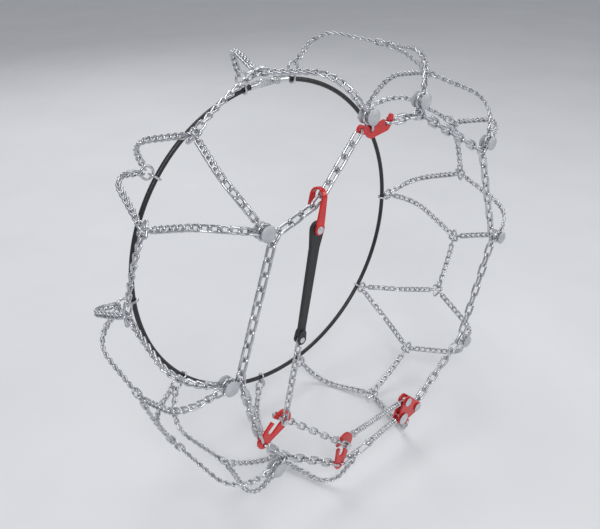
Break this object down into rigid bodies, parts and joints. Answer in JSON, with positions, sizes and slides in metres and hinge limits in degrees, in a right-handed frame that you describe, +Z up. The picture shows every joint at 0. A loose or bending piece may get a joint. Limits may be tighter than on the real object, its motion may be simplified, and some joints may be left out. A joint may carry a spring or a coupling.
{
  "type": "tyre snow chain",
  "caption": "Diamond-pattern tyre snow chain in its fitted shape, with side chain, plastic bumpers, red hooks, springs, rubber strap and inner cable hoop.",
  "frame": {"origin": "centre of the tyre that the chain is fitted on", "axes": "+Y along the wheel axis, inboard (the tensioner is on the outboard side, -Y); +Z up with the closing hook at the top; +X completes the frame"},
  "size_m": [0.6458, 0.2549, 0.6264],
  "materials": {
    "galvanised_chain": "satin galvanised",
    "red_coated_steel": "gloss coat",
    "grey_plastic": "satin",
    "black_rubber": "matt",
    "cable_cover": "satin",
    "plated_pins": "zinc plated",
    "bright_steel": "bright"
  },
  "bodies": {
    "fitted_chain": {"bracket_back": "red_coated_steel", "bracket_front": "red_coated_steel", "bracket_pins": "plated_pins", "centre_chains": "galvanised_chain", "closure_hook": "red_coated_steel", "connectors_inner": "galvanised_chain", "connectors_outer": "galvanised_chain", "coupling_clevis": "bright_steel", "coupling_fork": "bright_steel", "coupling_pin": "bright_steel", "guide_pin_1": "plated_pins", "guide_pin_2": "plated_pins", "hook_plate_1": "red_coated_steel", "hook_plate_2": "red_coated_steel", "inner_cable": "cable_cover", "junction_rings_inner": "galvanised_chain", "junction_rings_outer": "galvanised_chain", "rubber_strap": "black_rubber", "side_chain_0_40": "galvanised_chain", "side_chain_100_140": "galvanised_chain", "side_chain_140_180": "galvanised_chain", "side_chain_180_220": "galvanised_chain", "side_chain_220_260": "galvanised_chain", "side_chain_260": "galvanised_chain", "side_chain_280_320": "galvanised_chain", "side_chain_320_0": "galvanised_chain", "side_chain_40_80": "galvanised_chain", "spring_long": "bright_steel", "spring_long_anchor": "bright_steel", "spring_short": "bright_steel", "spring_short_anchor": "bright_steel", "strap_pin": "plated_pins", "tension_chain_lower": "galvanised_chain", "tension_chain_upper": "galvanised_chain", "tread_cell_0": "galvanised_chain", "tread_cell_140": "galvanised_chain", "tread_cell_180": "galvanised_chain", "tread_cell_220": "galvanised_chain", "tread_cell_320": "galvanised_chain", "tread_cell_40": "galvanised_chain", "tread_cell_bottom": "galvanised_chain", "tread_cell_top": "galvanised_chain", "tread_rings": "galvanised_chain"},
    "bumper_140": {"bumper_140": "grey_plastic"},
    "bumper_180": {"bumper_180": "grey_plastic"},
    "bumper_220": {"bumper_220": "grey_plastic"},
    "bumper_320": {"bumper_320": "grey_plastic"},
    "bumper_0": {"bumper_0": "grey_plastic"},
    "bumper_40": {"bumper_40": "grey_plastic"},
    "bumper_80": {"bumper_80": "grey_plastic"},
    "bumper_100": {"bumper_100": "grey_plastic"},
    "closing_chain": {"closing_chain": "galvanised_chain"},
    "strap_end": {"end_hook": "red_coated_steel", "end_hook_rivet": "plated_pins"},
    "spring_long_end": {"spring_long_cap": "bright_steel"},
    "spring_short_end": {"spring_short_cap": "bright_steel"},
    "coupling_hook": {"coupling_hook": "bright_steel"}
  },
  "joints": [
    {"name": "bumper_140_spin", "type": "hinge", "parent": "fitted_chain", "child": "bumper_140", "pos_m": [-0.20377, -0.117, 0.17098], "axis": [0, -1, 0], "continuous": true},
    {"name": "bumper_180_spin", "type": "hinge", "parent": "fitted_chain", "child": "bumper_180", "pos_m": [-0.266, -0.117, 0], "axis": [0, -1, 0], "continuous": true},
    {"name": "bumper_220_spin", "type": "hinge", "parent": "fitted_chain", "child": "bumper_220", "pos_m": [-0.20377, -0.117, -0.17098], "axis": [0, -1, 0], "continuous": true},
    {"name": "bumper_320_spin", "type": "hinge", "parent": "fitted_chain", "child": "bumper_320", "pos_m": [0.20377, -0.117, -0.17098], "axis": [0, -1, 0], "continuous": true},
    {"name": "bumper_0_spin", "type": "hinge", "parent": "fitted_chain", "child": "bumper_0", "pos_m": [0.266, -0.117, 0], "axis": [0, -1, 0], "continuous": true},
    {"name": "bumper_40_spin", "type": "hinge", "parent": "fitted_chain", "child": "bumper_40", "pos_m": [0.20377, -0.117, 0.17098], "axis": [0, -1, 0], "continuous": true},
    {"name": "bumper_80_spin", "type": "hinge", "parent": "fitted_chain", "child": "bumper_80", "pos_m": [0.04619, -0.117, 0.26196], "axis": [0, -1, 0], "continuous": true},
    {"name": "bumper_100_spin", "type": "hinge", "parent": "fitted_chain", "child": "bumper_100", "pos_m": [-0.04619, -0.117, 0.26196], "axis": [0, -1, 0], "continuous": true},
    {"name": "closing_chain_release", "type": "hinge", "parent": "fitted_chain", "child": "closing_chain", "pos_m": [0.03752, -0.117, 0.24521], "axis": [0, 1, 0], "range_deg": [0, 35]},
    {"name": "strap_stretch", "type": "slide", "parent": "fitted_chain", "child": "strap_end", "axis": [0.2113, 0, 0.9774], "range_m": [0, 0.015], "stiffness_N_per_m": 600, "deforming": ["rubber_strap"]},
    {"name": "spring_long_extend", "type": "slide", "parent": "fitted_chain", "child": "spring_long_end", "axis": [-0.9961, 0.0709, -0.0527], "range_m": [0, 0.007], "stiffness_N_per_m": 1500, "deforming": ["spring_long"]},
    {"name": "spring_short_extend", "type": "slide", "parent": "fitted_chain", "child": "spring_short_end", "axis": [-0.9945, 0, -0.1052], "range_m": [0, 0.003], "stiffness_N_per_m": 2500, "deforming": ["spring_short"]},
    {"name": "coupling_hook_swing", "type": "hinge", "parent": "fitted_chain", "child": "coupling_hook", "pos_m": [0.01108, 0.117, 0.24992], "axis": [0, 1, 0], "range_deg": [0, 60]}
  ]
}
